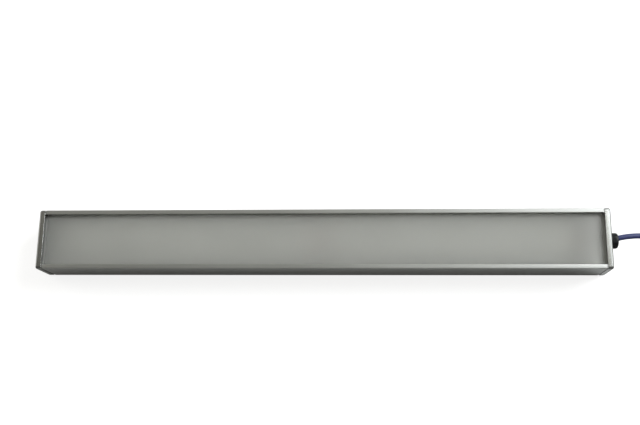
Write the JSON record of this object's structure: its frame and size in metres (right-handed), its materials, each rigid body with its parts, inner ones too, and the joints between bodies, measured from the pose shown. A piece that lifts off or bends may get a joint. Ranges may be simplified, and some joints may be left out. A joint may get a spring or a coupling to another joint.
{
  "type": "outdoor wall washer light",
  "caption": "Slim linear wall washer: box-section aluminium body with a recessed opal window, flat end caps, finned back with a mounting channel, and a glanded lead coiled to a round connector.",
  "frame": {"origin": "on the back plane, under the middle of the light's body, which lies on its back", "axes": "+X along the light towards the cable end, +Y across it, +Z out of the window"},
  "size_m": [0.7723, 0.1057, 0.042],
  "materials": {
    "satin_aluminium": "satin anodised, fine lengthwise grain",
    "opal_cover": "frosted opal sheet, unlit",
    "grey_silicone": "matt silicone",
    "black_rubber": "matt rubber",
    "stainless_steel": "plain stainless",
    "white_board": "white solder mask on a metal-cored board",
    "led_lens": "clear dome over yellow phosphor",
    "chip_black": "moulded chip package",
    "white_nylon": "moulded nylon",
    "zinc_steel": "bright zinc plate",
    "black_nylon": "moulded nylon, slight sheen",
    "violet_jacket": "blue-violet PUR jacket",
    "red_core": "PVC insulation",
    "black_core": "PVC insulation",
    "black_strap": "hook-and-loop strap",
    "plug_plastic": "moulded plastic",
    "gold_pin": "gilt contact",
    "nickel_nut": "nickel-plated, grooved"
  },
  "bodies": {
    "root": {"housing": "satin_aluminium", "end_cap_left": "satin_aluminium", "end_cap_right": "satin_aluminium", "cover": "opal_cover", "cover_seals": "grey_silicone", "end_gasket_left": "grey_silicone", "end_gasket_right": "grey_silicone", "end_cap_screws": "stainless_steel", "led_board_left": "white_board", "led_board_right": "white_board", "heat_pads": "grey_silicone", "leds": "led_lens", "regulators": "chip_black", "resistors": "chip_black", "board_screws": "stainless_steel", "supply_terminal": "white_nylon", "board_links": "red_core", "gland_washer": "black_rubber", "gland_body": "black_nylon", "gland_locknut": "black_nylon", "gland_nut": "black_nylon", "gland_seal": "black_rubber", "inlet_cable": "violet_jacket", "core_negative": "black_core", "core_positive": "red_core", "cable_lead": "violet_jacket", "cable_coil": "violet_jacket", "cable_tail": "violet_jacket", "coil_tie": "black_strap", "plug_body": "plug_plastic", "plug_insert": "plug_plastic", "plug_pins": "gold_pin", "plug_seal": "black_rubber"},
    "channel_nut_left": {"channel_nut_left": "zinc_steel"},
    "channel_nut_right": {"channel_nut_right": "zinc_steel"},
    "coupling_nut": {"coupling_nut": "nickel_nut"}
  },
  "joints": [
    {"name": "left_nut_slide", "type": "slide", "parent": "root", "child": "channel_nut_left", "axis": [1, 0, 0], "range_m": [-0.083, 0.188]},
    {"name": "right_nut_slide", "type": "slide", "parent": "root", "child": "channel_nut_right", "axis": [1, 0, 0], "range_m": [-0.188, 0.083]},
    {"name": "coupling_spin", "type": "hinge", "parent": "root", "child": "coupling_nut", "pos_m": [0.46503, 0.01983, 0.0074], "axis": [0.9602, 0.2793, 0], "continuous": true}
  ]
}
